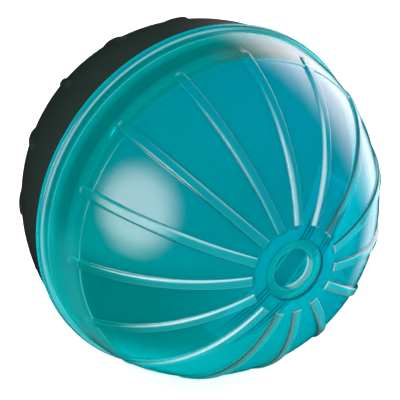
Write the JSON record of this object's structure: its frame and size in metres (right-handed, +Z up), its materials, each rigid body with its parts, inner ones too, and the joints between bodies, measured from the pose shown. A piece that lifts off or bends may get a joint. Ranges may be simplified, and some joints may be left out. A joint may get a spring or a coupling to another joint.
{
  "type": "hamster ball",
  "caption": "Small-pet exercise ball: a clear ribbed half shell pushes onto a dark ribbed one at a flanged equator, with a vented hub well at each pole.",
  "frame": {"origin": "centre of the ball, on the parting plane between the two halves", "axes": "+Z up, Y along the ball's axis from the clear half's pole at -Y to the dark half's pole at +Y"},
  "size_m": [0.184, 0.1762, 0.184],
  "materials": {
    "clear_teal_plastic": "clear tinted gloss",
    "black_plastic": "satin gloss"
  },
  "bodies": {
    "dark_shell": {"dark_half": "black_plastic", "dark_hub": "black_plastic"},
    "clear_shell": {"clear_half": "clear_teal_plastic", "clear_hub": "clear_teal_plastic"}
  },
  "joints": [
    {"name": "halves_pull_apart", "type": "slide", "parent": "dark_shell", "child": "clear_shell", "axis": [0, -1, 0], "range_m": [0, 0.12]}
  ]
}
